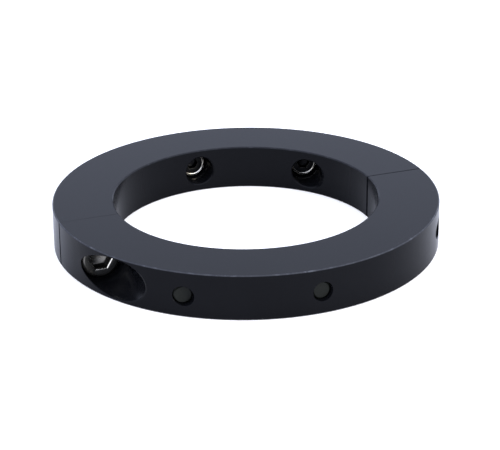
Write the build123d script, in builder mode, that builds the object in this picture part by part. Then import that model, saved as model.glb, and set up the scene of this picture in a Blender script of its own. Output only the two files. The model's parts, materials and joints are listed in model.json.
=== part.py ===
from build123d import *
import os

# Two-piece clamping shaft collar. Millimetres, +Z along the bore.
# The origin is the centre of the bore at mid-width. The halves meet on the XZ plane and
# both clamp screws run along Y. The two halves are the same part: every feature of the
# back half (+Y) is the front half's (-Y), turned about Z by half a turn and a small skew,
# because the collar is clamped up until it all but closes on the left.

# ---- ring ----
outer_diameter = 102.0
bore_diameter = 70.0
width = 12.0
split_gap = 0.2  # left open between the halves, at the middle of the bore
back_turn = 180.16  # degrees from the front half to the back half, about Z
rim_chamfer = 0.3
split_edge_break = 0.2

# ---- clamp screws, M6 x 20 ----
clamp_axis_x = 43.8  # distance of each clamp screw from the YZ plane
clamp_seat_y = 7.0  # head seat, measured from the split plane
clamp_thread = 6.0
clamp_length = 20.0
clamp_head = (10.0, 6.0)  # diameter, height
clamp_socket = (5.0, 3.0)  # across flats, depth
clamp_top_chamfer = 0.7
clamp_socket_bevel = 0.3
pocket_diameter = 10.7
pocket_mouth_bevel = 0.25
clearance_diameter = 6.6
pilot_diameter = 5.0
tapped_depth = 17.0  # measured from the split plane

# ---- bore screws, M5 x 5 with a reduced head, two in each half ----
# For each: the angle where its axis leaves the rim, the direction it points, its height.
radial_screw = (-88.6, -88.6, -0.1)
oblique_screw = (-127.6, -103.8, -0.45)
bore_thread = 5.0
bore_length = 5.0
bore_head = (7.0, 4.0)
bore_socket = (3.0, 2.0)
bore_top_chamfer = 0.1
bore_socket_bevel = 0.15
bore_dish = (3.35, 2.85, 0.3)  # shallow hollow in the head: rim radius, floor radius, depth
counterbore_diameter = 8.0
counterbore_mouth_bevel = 0.3
bore_screw_wall = 6.1  # from the head seat to the rim, along the axis
rim_mouth_bevel = 0.05

# ---- shared by every screw ----
running_clearance = 0.09  # between a thread and its tapped hole, on the radius
tip_chamfer = 0.3
socket_point = 0.6  # depth of the drill point below the hexagon

outer_radius = outer_diameter / 2
bore_radius = bore_diameter / 2
cutter_length = outer_diameter  # long enough to leave the ring on either side


def clamp_seat(turn):
    """Seat plane of a clamp screw: the front half's own, turned about Z by this much."""
    origin = Vector(-clamp_axis_x, -clamp_seat_y, 0).rotate(Axis.Z, turn)
    outward = Vector(0, -1, 0).rotate(Axis.Z, turn)
    return Plane(origin=origin, x_dir=(0, 0, 1), z_dir=outward)


def bore_seat(rim_angle, direction, height):
    """Seat plane of a bore screw, facing the bore."""
    rim_point = Vector(outer_radius, 0, height).rotate(Axis.Z, rim_angle)
    outward = Vector(1, 0, 0).rotate(Axis.Z, direction)
    origin = rim_point - outward * bore_screw_wall
    return Plane(origin=origin, x_dir=(0, 0, 1), z_dir=-outward)


def hole_mouths(ring, radius):
    """Closed edges where holes break through the wall of this radius, shortest first."""
    def is_mouth(edge):
        point = edge.position_at(0.5)
        from_axis = (point.X**2 + point.Y**2) ** 0.5
        return edge.is_closed and abs(from_axis - radius) < rim_chamfer / 4
    return ring.edges().filter_by(is_mouth).sort_by(SortBy.LENGTH)


def half_collar():
    """The front half: clamp screw pocket on -X, tapped hole on +X, two bore screw holes."""
    with BuildPart() as half:
        with BuildSketch(Plane.XY.offset(-width / 2)):
            Circle(outer_radius)
            Circle(bore_radius, mode=Mode.SUBTRACT)
            with Locations((0, -outer_radius - split_gap / 2)):
                Rectangle(outer_diameter, outer_diameter, mode=Mode.INTERSECT)
        extrude(amount=width)
        chamfer(half.edges().filter_by(Axis.Z), split_edge_break)
        chamfer(half.edges().filter_by(GeomType.CIRCLE), rim_chamfer)

        # pocket and clearance hole of the screw whose head is in this half
        pocket_top = cutter_length - clamp_seat_y
        with Locations(clamp_seat(0).offset(pocket_top).location):
            CounterBoreHole(
                clearance_diameter / 2, pocket_diameter / 2, pocket_top, cutter_length
            )

        # tapped hole and its pilot, for the screw whose head is in the other half
        split_face = Plane(origin=(clamp_axis_x, 0, 0), z_dir=(0, 1, 0))
        with Locations(split_face.location):
            Hole(clamp_thread / 2 + running_clearance, tapped_depth)
            Hole(pilot_diameter / 2, cutter_length)

        # stepped holes that the bore screws enter from inside the ring
        for hole in (radial_screw, oblique_screw):
            with Locations(bore_seat(*hole).offset(bore_radius).location):
                CounterBoreHole(
                    bore_thread / 2 + running_clearance,
                    counterbore_diameter / 2,
                    bore_radius,
                    bore_radius + 2 * bore_screw_wall,
                )

        chamfer(hole_mouths(half, bore_radius), counterbore_mouth_bevel)
        chamfer(hole_mouths(half, outer_radius)[:2], rim_mouth_bevel)
        chamfer(hole_mouths(half, outer_radius)[-1], pocket_mouth_bevel)
    return half


def cap_screw(seat, thread, length, head, socket, top_chamfer, socket_bevel, dish=(0, 0, 0)):
    """Hexagon socket cap screw on its seat plane, with its thread as a plain cylinder."""
    dish_rim, dish_floor, dish_depth = dish
    head_radius, head_height = head[0] / 2, head[1]
    thread_radius = thread / 2
    socket_radius, socket_depth = socket[0] / 2, socket[1]
    profile = Plane(origin=seat.origin, x_dir=seat.x_dir, z_dir=seat.y_dir)
    with BuildPart() as screw:
        with BuildSketch(profile):
            Polygon(
                (0, length),
                (thread_radius - tip_chamfer, length),
                (thread_radius, length - tip_chamfer),
                (thread_radius, 0),
                (head_radius, 0),
                (head_radius, top_chamfer - head_height),
                (head_radius - top_chamfer, -head_height),
                (0, -head_height),
                align=None,
            )
        revolve(axis=Axis(seat.origin, seat.z_dir))
        into_head = (Align.CENTER, Align.CENTER, Align.MAX)
        if dish_depth:
            with Locations(seat.offset(head_height).location):
                Cone(dish_floor, dish_rim, dish_depth, align=into_head, mode=Mode.SUBTRACT)
        face_height = head_height - dish_depth
        with BuildSketch(seat.offset(face_height)):
            RegularPolygon(socket_radius, 6, major_radius=False, rotation=30)
        extrude(amount=-socket_depth, mode=Mode.SUBTRACT)
        socket_mouth = screw.edges(Select.LAST).group_by(Axis(seat.origin, seat.z_dir))[-1]
        chamfer(socket_mouth, socket_bevel)
        with Locations(seat.offset(face_height - socket_depth).location):
            Cone(0, socket_radius, socket_point, align=into_head, mode=Mode.SUBTRACT)
    return screw


os.makedirs("parts", exist_ok=True)

# ---- the two halves ----
with BuildPart() as front_half:
    add(half_collar())
front_half.part.label = "front_half"
export_step(front_half.part, "parts/front_half.step")

with BuildPart() as back_half:
    add(front_half.part, rotation=(0, 0, back_turn))
back_half.part.label = "back_half"
export_step(back_half.part, "parts/back_half.step")

# ---- the clamp screws, one with its head in each half ----
for name, turn in (("left_clamp_screw", 0), ("right_clamp_screw", back_turn)):
    clamp_screw = cap_screw(
        clamp_seat(turn),
        clamp_thread,
        clamp_length,
        clamp_head,
        clamp_socket,
        clamp_top_chamfer,
        clamp_socket_bevel,
    )
    clamp_screw.part.label = name
    export_step(clamp_screw.part, f"parts/{name}.step")

# ---- the bore screws, two in each half ----
for hole_name, hole in (("radial", radial_screw), ("oblique", oblique_screw)):
    rim_angle, direction, height = hole
    for half_name, turn in (("front", 0), ("back", back_turn)):
        bore_screw = cap_screw(
            bore_seat(rim_angle + turn, direction + turn, height),
            bore_thread,
            bore_length,
            bore_head,
            bore_socket,
            bore_top_chamfer,
            bore_socket_bevel,
            bore_dish,
        )
        name = f"{half_name}_{hole_name}_screw"
        bore_screw.part.label = name
        export_step(bore_screw.part, f"parts/{name}.step")
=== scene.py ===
import json
import math

import bmesh
import bpy
from mathutils import Matrix, Vector


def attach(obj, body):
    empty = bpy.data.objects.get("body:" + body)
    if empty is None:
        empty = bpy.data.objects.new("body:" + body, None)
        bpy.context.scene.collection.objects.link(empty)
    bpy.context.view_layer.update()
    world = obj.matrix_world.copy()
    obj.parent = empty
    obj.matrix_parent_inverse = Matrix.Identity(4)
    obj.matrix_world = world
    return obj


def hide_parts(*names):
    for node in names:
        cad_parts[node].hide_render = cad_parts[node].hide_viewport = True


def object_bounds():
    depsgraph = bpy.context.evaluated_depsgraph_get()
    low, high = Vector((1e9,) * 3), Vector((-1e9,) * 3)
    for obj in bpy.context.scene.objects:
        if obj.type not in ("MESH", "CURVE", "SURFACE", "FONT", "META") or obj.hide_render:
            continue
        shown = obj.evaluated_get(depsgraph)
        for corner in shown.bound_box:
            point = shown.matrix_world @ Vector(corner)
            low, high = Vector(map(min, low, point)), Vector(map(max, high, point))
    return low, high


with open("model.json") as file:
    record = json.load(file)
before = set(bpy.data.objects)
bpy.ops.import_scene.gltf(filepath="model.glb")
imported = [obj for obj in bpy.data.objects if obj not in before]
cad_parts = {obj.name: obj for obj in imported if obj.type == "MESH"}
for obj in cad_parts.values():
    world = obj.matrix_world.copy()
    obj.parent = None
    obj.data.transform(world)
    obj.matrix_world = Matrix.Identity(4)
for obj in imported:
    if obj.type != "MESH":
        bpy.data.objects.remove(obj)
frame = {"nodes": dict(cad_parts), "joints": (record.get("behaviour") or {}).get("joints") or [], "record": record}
cad_low, cad_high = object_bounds()

MM = 0.001
BORE_MOUNT = next(m for m in frame["record"]["mounts"] if m["name"] == "bore")
BORE_RADIUS = BORE_MOUNT["dims"]["r_mm"] * MM
OUTER_RADIUS = (cad_high.y - cad_low.y) / 2
HALF_WIDTH = cad_high.z


# ---------------------------------------------------------------- node helpers
class Nodes:
    """Short calls for building one material's node tree."""

    def __init__(self, name):
        self.material = bpy.data.materials.new(name)
        self.material.use_nodes = True
        self.tree = self.material.node_tree
        self.bsdf = self.tree.nodes["Principled BSDF"]

    def node(self, kind, **values):
        made = self.tree.nodes.new(kind)
        for key, value in values.items():
            setattr(made, key, value)
        return made

    def feed(self, socket, value):
        """Links an output socket to a socket, or sets the socket's own value."""
        if isinstance(value, bpy.types.NodeSocket):
            self.tree.links.new(value, socket)
        else:
            socket.default_value = value

    def surface(self, name, value):
        """Feeds an input of the Principled BSDF."""
        self.feed(self.bsdf.inputs[name], value)

    def math(self, operation, first, second=0.0, clamp=False):
        made = self.node("ShaderNodeMath", operation=operation, use_clamp=clamp)
        self.feed(made.inputs[0], first)
        self.feed(made.inputs[1], second)
        return made.outputs[0]

    def product(self, first, *others):
        for other in others:
            first = self.math("MULTIPLY", first, other)
        return first

    def ramp(self, value, low, high, to_low=0.0, to_high=1.0):
        """Smooth step of value from low..high to to_low..to_high."""
        made = self.node("ShaderNodeMapRange", interpolation_type="SMOOTHSTEP")
        inputs = (value, low, high, to_low, to_high)
        for socket, item in zip(made.inputs, inputs):
            self.feed(socket, item)
        return made.outputs[0]

    def ramp_mm(self, value, low, high, to_low=0.0, to_high=1.0):
        """Smooth step of a length, with its two ends in millimetres."""
        return self.ramp(value, low * MM, high * MM, to_low, to_high)

    def mix(self, factor, first, second):
        """Mixes two colours."""
        made = self.node("ShaderNodeMix", data_type="RGBA")
        self.feed(made.inputs[0], factor)
        self.feed(made.inputs[6], first)
        self.feed(made.inputs[7], second)
        return made.outputs[2]

    def position(self):
        """Object coordinates, and their y, z and distance from the Z axis."""
        coordinates = self.node("ShaderNodeTexCoord").outputs["Object"]
        split = self.node("ShaderNodeSeparateXYZ")
        self.feed(split.inputs[0], coordinates)
        x, y, z = split.outputs
        squares = self.math("ADD", self.product(x, x), self.product(y, y))
        return coordinates, y, z, self.math("SQRT", squares)

    def noise(self, coordinates, scale, detail, roughness, dimensions="3D"):
        made = self.node("ShaderNodeTexNoise", noise_dimensions=dimensions)
        target = "W" if dimensions == "1D" else "Vector"
        self.feed(made.inputs[target], coordinates)
        made.inputs["Scale"].default_value = scale
        made.inputs["Detail"].default_value = detail
        made.inputs["Roughness"].default_value = roughness
        return made.outputs["Fac"]

    def bump(self, height, depth, strength):
        """Normal of a relief whose full height is depth millimetres."""
        made = self.node("ShaderNodeBump")
        made.inputs["Strength"].default_value = strength
        made.inputs["Distance"].default_value = depth * MM
        self.feed(made.inputs["Height"], height)
        return made.outputs[0]


# ---------------------------------------------------------------- ring finish
RING_IOR = 1.148  # low: the black stays deep and brightens only at grazing angles
# IOR of the painted shade beside the seams: no reflection at all
NO_SHINE_IOR = 1.0
RING_BLACK = ((0.0034, 0.0035, 0.0042, 1), (0.0055, 0.0057, 0.0067, 1))
RING_RUBBED = ((0.060, 0.063, 0.076, 1), (0.19, 0.195, 0.21, 1))
RIM_WEAR = 0.65
BORE_WEAR = 0.35  # of the rim's
RING_MARKS = 5200.0  # noise scale of the turning marks
RING_RELIEF = 0.003  # millimetres


def anodised_material():
    """Satin black anodising: turning marks, faint mottling, edges rubbed pale in places."""
    n = Nodes("anodised_ring")
    coordinates, y, z, radius = n.position()
    cloud = n.noise(coordinates, 45.0, 4.0, 0.6)
    grain = n.noise(coordinates, 3800.0, 2.0, 0.6)
    specks = n.noise(coordinates, 900.0, 3.0, 0.7)
    patches = n.noise(coordinates, 320.0, 5.0, 0.75)

    # wear on the edge chamfers of the rim, and less on those of the bore
    rim, bore, face = OUTER_RADIUS / MM, BORE_RADIUS / MM, HALF_WIDTH / MM
    height = n.math("ABSOLUTE", z)
    near_face = n.ramp_mm(height, face - 0.36, face - 0.22)
    near_rim = n.ramp_mm(radius, rim - 0.36, rim - 0.24)
    near_bore = n.ramp_mm(radius, bore + 0.24, bore + 0.36, 1.0, 0.0)
    rubbed = n.product(near_face, n.ramp(patches, 0.50, 0.68, 0.42, 1.0))
    rim_wear = n.product(rubbed, near_rim)
    bore_wear = n.product(rubbed, near_bore, BORE_WEAR)
    wear = n.math("ADD", rim_wear, bore_wear, clamp=True)

    # small nicks through the anodising, thickest by the rim
    nick = n.ramp(specks, 0.70, 0.76)
    by_rim = n.ramp_mm(radius, rim - 3.0, rim - 0.3, 0.05, 0.6)
    by_face = n.ramp_mm(height, face - 0.8, face - 0.2)
    nicks = n.product(nick, by_rim, by_face)

    bare = n.math("MAXIMUM", n.product(wear, RIM_WEAR), nicks)
    black = n.mix(cloud, *RING_BLACK)
    pale = n.mix(specks, *RING_RUBBED)
    n.surface("Base Color", n.mix(bare, black, pale))
    satin = n.ramp(cloud, 0.3, 0.7, 0.13, 0.17)
    n.surface("Roughness", n.math("ADD", satin, n.product(grain, 0.05)))

    # painted shade on the walls beside the seams: their edge breaks face the gap, where there is nothing bright to
    # mirror, so their reflection is taken away
    beside_seam = n.ramp_mm(n.math("ABSOLUTE", y), 0.40, 0.54, 1.0, 0.0)
    seam_painted_shade = n.product(beside_seam, n.math("SUBTRACT", 1.0, near_face))
    n.surface("IOR", n.ramp(seam_painted_shade, 0.0, 1.0, RING_IOR, NO_SHINE_IOR))

    # turning marks: rings on the faces, bands along the walls
    flat = n.ramp_mm(height, face - 0.25, face - 0.05)
    face_marks = n.noise(radius, RING_MARKS, 2.0, 0.6, "1D")
    wall_marks = n.noise(z, RING_MARKS, 2.0, 0.6, "1D")
    on_wall = n.math("SUBTRACT", 1.0, flat)
    marks = n.math("ADD", n.product(face_marks, flat), n.product(wall_marks, on_wall))
    relief = n.math("ADD", n.product(marks, 0.6), n.product(grain, 0.6))
    n.surface("Normal", n.bump(relief, RING_RELIEF, 0.6))
    return n.material


# ---------------------------------------------------------------- screws
# Millimetres, seat at z = 0, head above it and thread below. The radii are those of the
# thread, its root and the head; edge is the rounding of the head's top; apothem, bevel,
# depth and point belong to the hexagon socket; dish is the shallow hollow in the head.
CLAMP_SCREW = {
    "thread": 3.0, "minor": 2.387, "pitch": 1.0, "length": 20.0,
    "head": 5.0, "height": 6.0, "edge": 0.7,
    "apothem": 2.5, "bevel": 0.38, "depth": 3.0, "point": 1.3,
    "dish_rim": 0.0, "dish_floor": 0.0, "dish_depth": 0.0,
}
BORE_SCREW = {
    "thread": 2.5, "minor": 2.067, "pitch": 0.8, "length": 5.0,
    "head": 3.5, "height": 4.0, "edge": 0.1,
    "apothem": 1.5, "bevel": 0.15, "depth": 2.0, "point": 0.6,
    "dish_rim": 3.35, "dish_floor": 2.85, "dish_depth": 0.3,
}
SEAT_GAP = 0.03  # left under a head, so that it doesn't share its seat's plane
HEAD_COLUMNS = 240
KNURL_WAVE = (0.0, 0.5, 1.0, 0.5)
KNURL_DEPTH = 0.13
ROUNDING_STEPS = 6
SOCKET_BEVEL = ((1.0, 0.0), (0.62, 0.10), (0.30, 0.32), (0.06, 0.70), (0.0, 1.0))
THREAD_COLUMNS = 60
THREAD_PROFILE = ((0.0, False), (0.25, False), (0.5625, True), (0.6875, True))
THREAD_TOP = -0.12  # where the thread has faded into its core, under the head
CORE_STEP = 0.06  # core radius below the thread's root
SHARP_ANGLE = 28


def ring_of(bm, radii, z):
    """A ring of vertices, one for each radius, at height z (millimetres)."""
    ring = []
    for column, radius in enumerate(radii):
        angle = column * 2 * math.pi / len(radii)
        point = Vector((radius * math.cos(angle), radius * math.sin(angle), z)) * MM
        ring.append(bm.verts.new(point))
    return ring


def join_rings(bm, lower, upper):
    count = len(lower)
    for column in range(count):
        after = (column + 1) % count
        bm.faces.new((lower[column], lower[after], upper[after], upper[column]))


def fan(bm, ring, z, upward):
    """Closes a ring with triangles to a point on the axis."""
    centre = bm.verts.new(Vector((0, 0, z)) * MM)
    for column, vertex in enumerate(ring):
        after = ring[(column + 1) % len(ring)]
        bm.faces.new((vertex, after, centre) if upward else (after, vertex, centre))


def circle(radius):
    return [radius] * HEAD_COLUMNS


def hexagon(apothem):
    """Radii of a hexagon with a flat facing column 0."""
    radii = []
    for column in range(HEAD_COLUMNS):
        turn = (math.tau * column / HEAD_COLUMNS + math.pi / 6) % (math.pi / 3)
        radii.append(apothem / math.cos(turn - math.pi / 6))
    return radii


def add_head(bm, size):
    """Knurled head with a rounded top edge and a bevelled hexagon socket with a drill point."""
    head, height, edge = size["head"], size["height"], size["edge"]
    waves = len(KNURL_WAVE)
    knurl = [head - KNURL_DEPTH * KNURL_WAVE[i % waves] for i in range(HEAD_COLUMNS)]
    rings = [
        (circle(head - 0.22), SEAT_GAP),
        (circle(head - 0.04), 0.10),
        (circle(head), 0.26),
        (circle(head), 0.50),
        (knurl, 0.66),
        (knurl, height - edge - 0.42),
        (circle(head), height - edge - 0.26),
        (circle(head), height - edge),
    ]

    # the top edge, halfway between a chamfer and a full round
    for step in range(1, ROUNDING_STEPS):
        turn = step / ROUNDING_STEPS
        angle = turn * math.pi / 2
        inset = edge * (turn + 1 - math.cos(angle)) / 2
        drop = edge * (1 - turn + 1 - math.sin(angle)) / 2
        rings.append((circle(head - inset), height - drop))
    rings.append((circle(head - edge), height))

    face = height - size["dish_depth"]
    if size["dish_depth"]:
        lip, hollow = size["dish_rim"], size["dish_floor"]
        for step in range(ROUNDING_STEPS + 1):
            turn = step / ROUNDING_STEPS
            drop = size["dish_depth"] * math.sin(turn * math.pi / 2)
            rings.append((circle(lip + (hollow - lip) * turn), height - drop))
    else:
        rings.append((circle(head - edge - 0.06), height))

    apothem, bevel = size["apothem"], size["bevel"]
    floor = face - size["depth"]
    for outward, down in SOCKET_BEVEL:
        rings.append((hexagon(apothem + outward * bevel), face - down * bevel))
    rings += [
        (hexagon(apothem), floor),
        (hexagon(apothem - 0.12), floor - 0.03),
        (circle(apothem - 0.25), floor - 0.06),
    ]

    made = [ring_of(bm, radii, z) for radii, z in rings]
    for lower, upper in zip(made, made[1:]):
        join_rings(bm, lower, upper)
    fan(bm, made[0], SEAT_GAP, False)
    fan(bm, made[-1], floor - size["point"], True)


def add_thread(bm, size):
    """Right-handed thread from the tip up into the head, as rows that follow the helix."""
    pitch, low, high = size["pitch"], -size["length"], THREAD_TOP
    core = size["minor"] - CORE_STEP
    per_turn = len(THREAD_PROFILE)
    rows = per_turn * (math.ceil((high - low) / pitch) + 2)

    def radius_at(z, crest):
        """Thread radius, cut back by the tip's chamfer and faded out below the head."""
        radius = min(size["thread"] if crest else size["minor"], core + z - low)
        fade = min(max((high - z) / (0.8 * pitch), 0.0), 1.0)
        return core + (radius - core) * fade

    grid = []
    for row in range(rows + per_turn + 1):
        share, crest = THREAD_PROFILE[row % per_turn]
        ring = []
        for column in range(THREAD_COLUMNS):
            turns = row // per_turn + share + column / THREAD_COLUMNS - 1
            z = min(max(low + turns * pitch, low), high)
            angle = math.tau * column / THREAD_COLUMNS
            radius = radius_at(z, crest)
            point = Vector((radius * math.cos(angle), radius * math.sin(angle), z)) * MM
            ring.append(bm.verts.new(point))
        grid.append(ring)

    # the last column joins the first one a turn further up
    for row in range(rows):
        for column in range(THREAD_COLUMNS):
            last = column == THREAD_COLUMNS - 1
            after, jump = (0, per_turn) if last else (column + 1, 0)
            bm.faces.new((
                grid[row][column],
                grid[row + jump][after],
                grid[row + jump + 1][after],
                grid[row + 1][column],
            ))
    bmesh.ops.remove_doubles(bm, verts=[v for ring in grid for v in ring], dist=0.001 * MM)
    ends = [e for e in bm.edges if e.is_boundary]
    for height in (low, high):
        loop = [e for e in ends if all(abs(v.co.z / MM - height) < 0.002 for v in e.verts)]
        bmesh.ops.holes_fill(bm, edges=loop)


# plain and tip are the oxide's colours on the head and on the thread; the wears say how
# bare each edge is; relief is in millimetres.
CLAMP_FINISH = {
    "plain": (0.050, 0.049, 0.044, 1), "tip": (0.085, 0.083, 0.074, 1),
    "metallic": 0.85, "ior": 1.5, "relief": 0.004,
    "edge_wear": 0.12, "lip_wear": 0.0, "bevel_wear": 1.0, "point_wear": 0.20,
}
BORE_FINISH = {
    "plain": (0.0030, 0.0031, 0.0028, 1), "tip": (0.0086, 0.0094, 0.0074, 1),
    "metallic": 0.0, "ior": 1.2, "relief": 0.0008,
    "edge_wear": 0.0, "lip_wear": 1.0, "bevel_wear": 0.08, "point_wear": 0.0,
}
CLOUD_LIGHTENS = 1.5
# colour of the painted shade deep inside a socket
SOCKET_PAINTED_SHADE = (0.003, 0.003, 0.003, 1)
BARE_STEEL = ((0.74, 0.69, 0.58, 1), (0.95, 0.89, 0.76, 1))


def screw_material(name, size, finish):
    """Oiled black oxide, rubbed to bare steel on the head's edge, its lip and its socket, with painted shade deep
    in the socket.
    """
    n = Nodes(name)
    coordinates, _, z, radius = n.position()
    cloud = n.noise(coordinates, 420.0, 4.0, 0.6)
    fine = n.noise(coordinates, 3000.0, 3.0, 0.65)
    top, edge, bevel = size["height"], size["edge"], size["bevel"]
    face = top - size["dish_depth"]
    floor = face - size["depth"]
    corner, hollow = size["head"] - edge, size["dish_floor"]
    mouth = (size["apothem"] + bevel) / math.cos(math.pi / 6)

    # masks of the places that rub bare
    round_edge = n.product(
        n.ramp_mm(z, top - 1.1 * edge, top - 0.75 * edge),
        n.ramp_mm(radius, corner - 0.10, corner + 0.02),
    )
    lip = n.product(
        n.ramp_mm(radius, hollow + 0.02, hollow + 0.12),
        n.ramp_mm(z, face + 0.01, face + 0.06),
    )
    in_mouth = n.ramp_mm(radius, mouth, mouth + 0.05, 1.0, 0.0)
    socket_bevel = n.product(
        n.ramp_mm(z, face - 1.1 * bevel, face - 0.9 * bevel),
        n.ramp_mm(z, face - 0.03, face - 0.01, 1.0, 0.0),
        in_mouth,
    )
    in_point = n.product(
        n.ramp_mm(z, floor - 0.05, floor + 0.02, finish["point_wear"], 0.0),
        n.ramp_mm(z, 0.0, 0.5),
        in_mouth,
    )
    scuffs = n.product(n.ramp(fine, 0.62, 0.72), 0.35 * finish["metallic"])

    bare = n.math(
        "MAXIMUM",
        n.product(round_edge, finish["edge_wear"]),
        n.product(socket_bevel, finish["bevel_wear"]),
    )
    bare = n.math("MAXIMUM", bare, n.product(lip, finish["lip_wear"]))
    bare = n.product(bare, n.ramp(cloud, 0.25, 0.6, 0.85, 1.0))
    bare = n.math("ADD", bare, n.math("MAXIMUM", scuffs, in_point), clamp=True)

    # oxide: lighter in clouds, darkened by painted shade deep inside the socket, its own tone on the thread
    plain = finish["plain"]
    clouded = tuple(CLOUD_LIGHTENS * v for v in plain[:3]) + (1,)
    oxide = n.mix(cloud, plain, clouded)
    # painted shade: the oxide goes towards black deep inside the socket
    socket_painted_shade = n.product(
        n.ramp_mm(z, face - 1.6 * bevel, face - bevel, 1.0, 0.0),
        in_mouth,
    )
    oxide = n.mix(n.product(socket_painted_shade, 0.75), oxide, SOCKET_PAINTED_SHADE)
    oxide = n.mix(n.ramp_mm(z, -0.3, 0.0), finish["tip"], oxide)
    steel = n.mix(fine, *BARE_STEEL)
    n.surface("Base Color", n.mix(bare, oxide, steel))

    metallic = finish["metallic"]
    shown = n.math("ADD", n.product(bare, 1.0 - metallic), metallic, clamp=True)
    n.surface("Metallic", shown)
    satin = n.ramp(cloud, 0.3, 0.7, 0.26, 0.36)
    n.surface("Roughness", n.math("SUBTRACT", satin, n.product(bare, 0.10)))
    n.surface("IOR", finish["ior"])
    n.surface("Normal", n.bump(fine, finish["relief"], 0.5))
    return n.material


def screw_place(node, size):
    """Matrix that puts the seat of a screw mesh on the seat of its CAD node.

    The joint's axis points from the screw's tip to its head, and it is the mesh's +Z.
    """
    joint = next(j for j in frame["joints"] if j["child"] == node)
    axis = Vector(joint["axis"]).normalized()
    up = (Vector((0, 0, 1)) - axis * axis.z).normalized()
    across = axis.cross(up)
    points = [v.co for v in frame["nodes"][node].data.vertices]

    def middle(direction):
        along = [p.dot(direction) for p in points]
        return (min(along) + max(along)) / 2

    seat = max(p.dot(axis) for p in points) - size["height"] * MM
    matrix = Matrix((up, across, axis)).transposed().to_4x4()
    matrix.translation = up * middle(up) + across * middle(across) + axis * seat
    return matrix


def make_screw(node, size, material):
    """Detailed screw that takes the place of its CAD node and rides on its body."""
    bm = bmesh.new()
    add_thread(bm, size)
    add_head(bm, size)
    bmesh.ops.recalc_face_normals(bm, faces=bm.faces)
    mesh = bpy.data.meshes.new(node + "_detail")
    bm.to_mesh(mesh)
    bm.free()
    for face in mesh.polygons:
        face.use_smooth = True
    mesh.set_sharp_from_angle(angle=math.radians(SHARP_ANGLE))
    mesh.materials.append(material)
    screw = bpy.data.objects.new(node + "_detail", mesh)
    bpy.context.scene.collection.objects.link(screw)
    screw.matrix_world = screw_place(node, size)
    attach(screw, node)
    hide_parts(node)


ring_material = anodised_material()
clamp_steel = screw_material("clamp_screw_oxide", CLAMP_SCREW, CLAMP_FINISH)
bore_steel = screw_material("bore_screw_oxide", BORE_SCREW, BORE_FINISH)
for name, node in frame["nodes"].items():
    node.data.materials.clear()
    if name.endswith("_half"):
        node.data.materials.append(ring_material)
        continue
    is_clamp = name.endswith("_clamp_screw")
    size, steel = (CLAMP_SCREW, clamp_steel) if is_clamp else (BORE_SCREW, bore_steel)
    node.data.materials.append(steel)
    make_screw(name, size, steel)

# ---------------------------------------------------------------- camera
CAMERA_AZIMUTH = -20.0
CAMERA_ELEVATION = 23.08
CAMERA_ROLL = -0.593
CAMERA_DISTANCE = 10.0126 * OUTER_RADIUS
CAMERA_LENS = 138.47
CAMERA_SHIFT = (0.0079, -0.019)


def make_camera():
    azimuth, elevation = math.radians(CAMERA_AZIMUTH), math.radians(CAMERA_ELEVATION)
    back = Vector((
        math.sin(azimuth) * math.cos(elevation),
        -math.cos(azimuth) * math.cos(elevation),
        math.sin(elevation),
    ))
    data = bpy.data.cameras.new("camera")
    data.lens = CAMERA_LENS
    data.shift_x, data.shift_y = CAMERA_SHIFT
    camera = bpy.data.objects.new("camera", data)
    bpy.context.scene.collection.objects.link(camera)
    camera.location = back * CAMERA_DISTANCE
    level = (-back).to_track_quat("-Z", "Y").to_matrix().to_4x4()
    roll = Matrix.Rotation(math.radians(CAMERA_ROLL), 4, "Z")
    camera.rotation_euler = (level @ roll).to_euler()
    bpy.context.scene.camera = camera


make_camera()

# ---------------------------------------------------------------- studio
FLOOR_SIZE = 4.0
FLOOR_GAP = 0.02 * MM  # keeps the floor off the underside's plane
FLOOR_TINT = (0.78, 0.76, 0.74, 1)
FLOOR_GLOW_TINT = (1.0, 0.98, 0.94, 1)
FLOOR_GLOW = 0.03  # as the object sees the floor
FLOOR_GLOW_SEEN = 0.40  # as the camera sees it, so that it shows white
SKY_TINT = (0.87, 0.95, 1.20, 1)
SKY_RISE = (0.25, 0.85)  # heights between which the sky brightens
SKY_HORIZON = 1.28
SKY_TOP = 2.0
SOFTBOX_DISTANCE = 0.9


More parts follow.
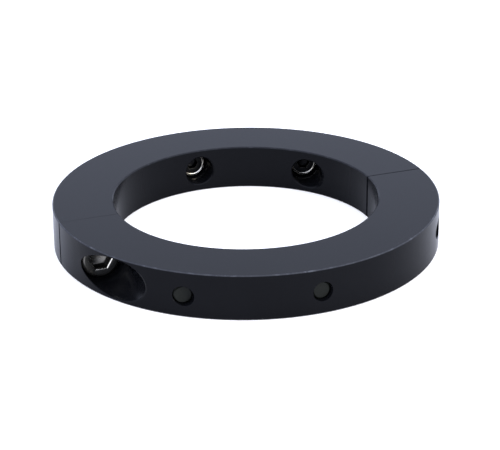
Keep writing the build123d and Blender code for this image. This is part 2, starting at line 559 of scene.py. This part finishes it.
def make_floor():
    mesh = bpy.data.meshes.new("floor")
    half = FLOOR_SIZE / 2
    corners = [(-half, -half, 0), (half, -half, 0), (half, half, 0), (-half, half, 0)]
    mesh.from_pydata(corners, [], [(0, 1, 2, 3)])
    floor = bpy.data.objects.new("floor", mesh)
    bpy.context.scene.collection.objects.link(floor)
    floor.location.z = cad_low.z - FLOOR_GAP
    n = Nodes("pale_floor")
    n.surface("Base Color", FLOOR_TINT)
    n.surface("Emission Color", FLOOR_GLOW_TINT)
    seen = n.node("ShaderNodeLightPath").outputs["Is Camera Ray"]
    n.surface("Emission Strength", n.ramp(seen, 0.0, 1.0, FLOOR_GLOW, FLOOR_GLOW_SEEN))
    n.surface("Roughness", 0.9)
    n.surface("IOR", 1.2)

    # clear from below, so that the underside can be seen
    both = n.node("ShaderNodeMixShader")
    n.feed(both.inputs[0], n.node("ShaderNodeNewGeometry").outputs["Backfacing"])
    n.feed(both.inputs[1], n.bsdf.outputs[0])
    n.feed(both.inputs[2], n.node("ShaderNodeBsdfTransparent").outputs[0])
    n.feed(n.tree.nodes["Material Output"].inputs["Surface"], both.outputs[0])
    mesh.materials.append(n.material)


def make_world():
    """A soft tent of light, brightest overhead."""
    world = bpy.data.worlds.new("studio")
    bpy.context.scene.world = world
    world.use_nodes = True
    tree = world.node_tree
    background = tree.nodes["Background"]
    coordinates = tree.nodes.new("ShaderNodeTexCoord")
    split = tree.nodes.new("ShaderNodeSeparateXYZ")
    rise = tree.nodes.new("ShaderNodeMapRange")
    rise.inputs["From Min"].default_value = SKY_RISE[0]
    rise.inputs["From Max"].default_value = SKY_RISE[1]
    rise.inputs["To Min"].default_value = SKY_HORIZON
    rise.inputs["To Max"].default_value = SKY_TOP
    tree.links.new(coordinates.outputs["Generated"], split.inputs[0])
    tree.links.new(split.outputs[2], rise.inputs["Value"])
    tree.links.new(rise.outputs[0], background.inputs["Strength"])
    background.inputs["Color"].default_value = SKY_TINT


def add_softbox(name, direction, size, watts, tint):
    """A square area light that faces the origin."""
    data = bpy.data.lights.new(name, "AREA")
    data.shape = "SQUARE"
    data.size = size
    data.energy = watts
    data.color = tint
    light = bpy.data.objects.new(name, data)
    bpy.context.scene.collection.objects.link(light)
    toward = Vector(direction).normalized()
    light.location = toward * SOFTBOX_DISTANCE
    light.rotation_euler = toward.to_track_quat("Z", "Y").to_euler()


make_floor()
make_world()
add_softbox("key", (0.42, -0.82, 0.33), 0.36, 4.5, (1.0, 0.97, 0.90))
add_softbox("side", (-0.85, -0.50, 0.20), 0.25, 0.2, (0.95, 0.97, 1.0))
bpy.context.scene.view_settings.view_transform = "Standard"
